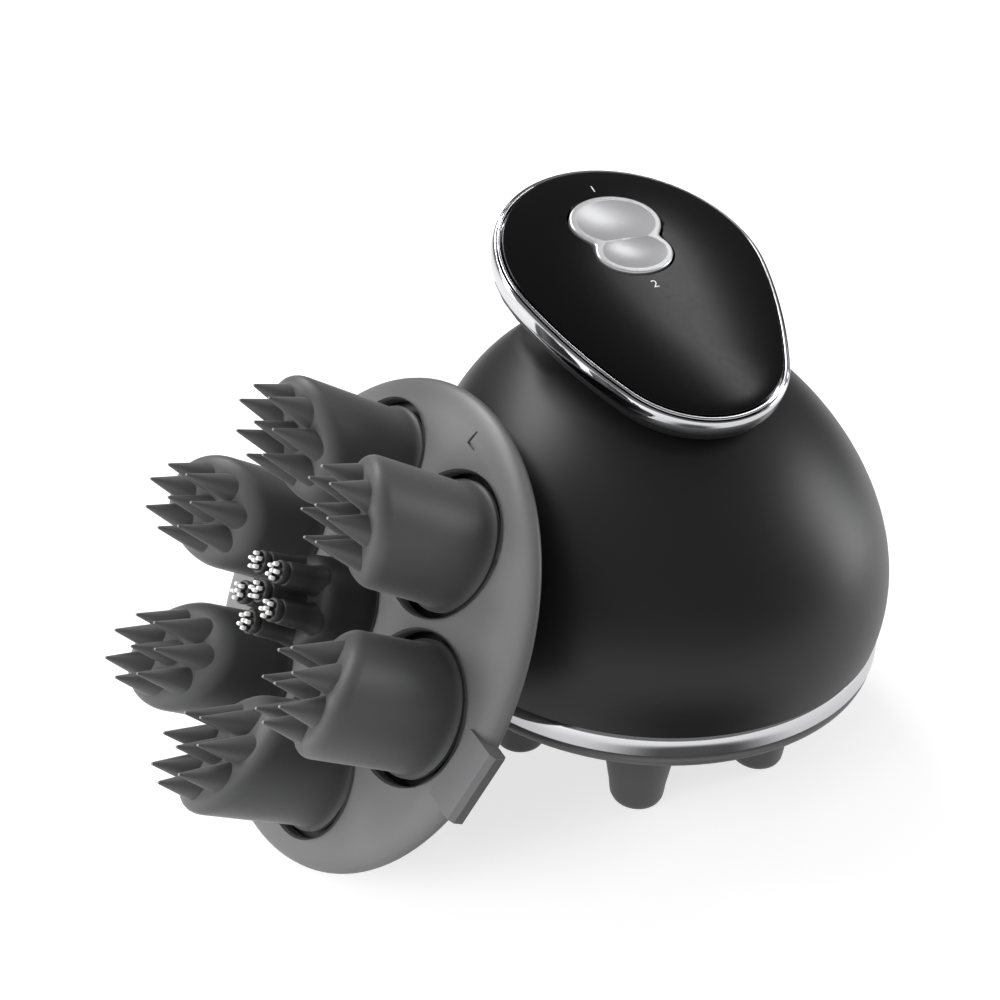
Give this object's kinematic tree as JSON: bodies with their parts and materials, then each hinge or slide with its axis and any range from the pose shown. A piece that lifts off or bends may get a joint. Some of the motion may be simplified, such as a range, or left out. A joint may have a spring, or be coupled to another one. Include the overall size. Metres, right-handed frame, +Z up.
{
  "type": "electric scalp massager",
  "caption": "Dome-shaped cordless head massager with a tilted oval control plate, standing on a clip-on peg attachment, with a spare spiked-finger attachment leaning against it.",
  "frame": {"origin": "on the table top, under the middle of the set's bounding box", "axes": "+X to the handset's right with its front facing -Y, +Y to its back, where the top plate rises, +Z up"},
  "size_m": [0.1756, 0.1115, 0.1231],
  "materials": {
    "soft_touch_black": "soft-touch satin",
    "grip_black": "satin",
    "chrome": "polished",
    "gloss_black": "high gloss",
    "satin_silver": "satin",
    "steel": "plain",
    "circuit_board": "solder mask",
    "inner_plastic": "plain",
    "seal_rubber": "matt",
    "motor_can": "plain",
    "brass": "plain",
    "acetal": "plain",
    "cell_wrap": "shrink wrap",
    "cover_grey": "fine satin",
    "back_plate_black": "satin",
    "finger_rubber": "soft matt"
  },
  "bodies": {
    "handset": {"dome_shell": "soft_touch_black", "grip_head": "grip_black", "plate_rim": "chrome", "top_plate": "gloss_black", "button_pin": "steel", "button_board": "circuit_board", "tact_switches": "inner_plastic", "base_ring": "chrome", "chassis": "inner_plastic", "inner_ring": "inner_plastic", "base_seal": "seal_rubber", "chassis_screws": "steel", "gear_frame": "inner_plastic", "frame_screws": "steel", "motor": "motor_can", "gear_axle": "steel", "post_seal": "seal_rubber", "battery": "cell_wrap", "battery_strap": "inner_plastic", "main_board": "circuit_board", "charge_pad": "seal_rubber", "charge_contacts": "brass"},
    "mode_button": {"mode_button": "satin_silver"},
    "crank_gear": {"crank_gear": "acetal"},
    "motor_pinion": {"motor_pinion": "brass"},
    "drive_post": {"drive_post": "acetal"},
    "peg_attachment": {"peg_cover": "cover_grey", "peg_back_plate": "back_plate_black", "peg_hinge_pins": "steel"},
    "peg_middle_body": {"peg_plunger": "acetal", "peg_middle": "finger_rubber"},
    "spare_attachment": {"spare_cover": "cover_grey", "spare_back_plate": "back_plate_black", "spare_hinge_pins": "steel"},
    "spare_middle_body": {"spare_plunger": "acetal", "spare_middle": "finger_rubber"},
    "peg_1": {"peg_1": "finger_rubber"},
    "peg_2": {"peg_2": "finger_rubber"},
    "peg_3": {"peg_3": "finger_rubber"},
    "peg_4": {"peg_4": "finger_rubber"},
    "peg_5": {"peg_5": "finger_rubber"},
    "peg_6": {"peg_6": "finger_rubber"},
    "spare_finger_1": {"spare_finger_1": "finger_rubber"},
    "spare_finger_2": {"spare_finger_2": "finger_rubber"},
    "spare_finger_3": {"spare_finger_3": "finger_rubber"},
    "spare_finger_4": {"spare_finger_4": "finger_rubber"},
    "spare_finger_5": {"spare_finger_5": "finger_rubber"},
    "spare_finger_6": {"spare_finger_6": "finger_rubber"}
  },
  "joints": [
    {"name": "mode_button_rock", "type": "hinge", "parent": "handset", "child": "mode_button", "pos_m": [0.0322, 0.01699, 0.10865], "axis": [1, 0, 0], "range_deg": [-3, 3], "stiffness_Nm_per_rad": 0.06},
    {"name": "crank_gear_spin", "type": "hinge", "parent": "handset", "child": "crank_gear", "pos_m": [0.0322, -0.0023, 0.058], "axis": [1, 0, 0], "continuous": true},
    {"name": "motor_pinion_spin", "type": "hinge", "parent": "handset", "child": "motor_pinion", "pos_m": [0.0322, 0.0202, 0.058], "axis": [1, 0, 0], "continuous": true},
    {"name": "drive_post_slide", "type": "slide", "parent": "handset", "child": "drive_post", "axis": [0, 0, 1], "range_m": [-0.0012, 0.0012]},
    {"name": "peg_attachment_pull_off", "type": "slide", "parent": "handset", "child": "peg_attachment", "axis": [0, 0, -1], "range_m": [0, 0.03]},
    {"name": "peg_plunger_slide", "type": "slide", "parent": "peg_attachment", "child": "peg_middle_body", "axis": [0, 0, 1], "range_m": [-0.00121, 0.00121]},
    {"name": "peg_1_hinge", "type": "hinge", "parent": "peg_attachment", "child": "peg_1", "pos_m": [0.0482, -0.03001, 0.0276], "axis": [-0.866, -0.5, 0], "range_deg": [-3.37, 3.37]},
    {"name": "peg_2_hinge", "type": "hinge", "parent": "peg_attachment", "child": "peg_2", "pos_m": [0.0162, -0.03001, 0.0276], "axis": [-0.866, 0.5, 0], "range_deg": [-3.37, 3.37]},
    {"name": "peg_3_hinge", "type": "hinge", "parent": "peg_attachment", "child": "peg_3", "pos_m": [0.0002, -0.0023, 0.0276], "axis": [0, 1, 0], "range_deg": [-3.37, 3.37]},
    {"name": "peg_4_hinge", "type": "hinge", "parent": "peg_attachment", "child": "peg_4", "pos_m": [0.0162, 0.02541, 0.0276], "axis": [0.866, 0.5, 0], "range_deg": [-3.37, 3.37]},
    {"name": "peg_5_hinge", "type": "hinge", "parent": "peg_attachment", "child": "peg_5", "pos_m": [0.0482, 0.02541, 0.0276], "axis": [0.866, -0.5, 0], "range_deg": [-3.37, 3.37]},
    {"name": "peg_6_hinge", "type": "hinge", "parent": "peg_attachment", "child": "peg_6", "pos_m": [0.0642, -0.0023, 0.0276], "axis": [0, -1, 0], "range_deg": [-3.37, 3.37]},
    {"name": "spare_attachment_lift_off", "type": "slide", "parent": "handset", "child": "spare_attachment", "axis": [-0.8335, -0.129, 0.5373], "range_m": [0, 0.05]},
    {"name": "spare_plunger_slide", "type": "slide", "parent": "spare_attachment", "child": "spare_middle_body", "axis": [-0.8335, -0.129, 0.5373], "range_m": [-0.0012, 0.0012]},
    {"name": "spare_finger_1_hinge", "type": "hinge", "parent": "spare_attachment", "child": "spare_finger_1", "pos_m": [-0.01983, -0.01627, 0.06626], "axis": [0.1938, 0.8424, 0.5029], "range_deg": [-3.37, 3.37]},
    {"name": "spare_finger_2_hinge", "type": "hinge", "parent": "spare_attachment", "child": "spare_finger_2", "pos_m": [-0.02274, 0.01545, 0.06936], "axis": [-0.3513, 0.8743, -0.335], "range_deg": [-3.37, 3.37]},
    {"name": "spare_finger_3_hinge", "type": "hinge", "parent": "spare_attachment", "child": "spare_finger_3", "pos_m": [-0.0393, 0.03219, 0.0477], "axis": [-0.545, 0.0319, -0.8378], "range_deg": [-3.37, 3.37]},
    {"name": "spare_finger_4_hinge", "type": "hinge", "parent": "spare_attachment", "child": "spare_finger_4", "pos_m": [-0.05295, 0.01722, 0.02293], "axis": [-0.1938, -0.8424, -0.5029], "range_deg": [-3.37, 3.37]},
    {"name": "spare_finger_5_hinge", "type": "hinge", "parent": "spare_attachment", "child": "spare_finger_5", "pos_m": [-0.05004, -0.0145, 0.01983], "axis": [0.3513, -0.8743, 0.335], "range_deg": [-3.37, 3.37]},
    {"name": "spare_finger_6_hinge", "type": "hinge", "parent": "spare_attachment", "child": "spare_finger_6", "pos_m": [-0.03348, -0.03124, 0.04149], "axis": [0.545, -0.0319, 0.8378], "range_deg": [-3.37, 3.37]}
  ],
  "couplings": [
    {"joint": "motor_pinion_spin", "follows": "crank_gear_spin", "ratio": -3.6667},
    {"joint": "peg_plunger_slide", "follows": "drive_post_slide", "ratio": 1},
    {"joint": "peg_1_hinge", "follows": "drive_post_slide", "rad_per_m": -48.78},
    {"joint": "peg_2_hinge", "follows": "drive_post_slide", "rad_per_m": -48.78},
    {"joint": "peg_3_hinge", "follows": "drive_post_slide", "rad_per_m": -48.78},
    {"joint": "peg_4_hinge", "follows": "drive_post_slide", "rad_per_m": -48.78},
    {"joint": "peg_5_hinge", "follows": "drive_post_slide", "rad_per_m": -48.78},
    {"joint": "peg_6_hinge", "follows": "drive_post_slide", "rad_per_m": -48.78},
    {"joint": "spare_finger_1_hinge", "follows": "spare_plunger_slide", "rad_per_m": 48.78},
    {"joint": "spare_finger_2_hinge", "follows": "spare_plunger_slide", "rad_per_m": 48.78},
    {"joint": "spare_finger_3_hinge", "follows": "spare_plunger_slide", "rad_per_m": 48.78},
    {"joint": "spare_finger_4_hinge", "follows": "spare_plunger_slide", "rad_per_m": 48.78},
    {"joint": "spare_finger_5_hinge", "follows": "spare_plunger_slide", "rad_per_m": 48.78},
    {"joint": "spare_finger_6_hinge", "follows": "spare_plunger_slide", "rad_per_m": 48.78}
  ]
}
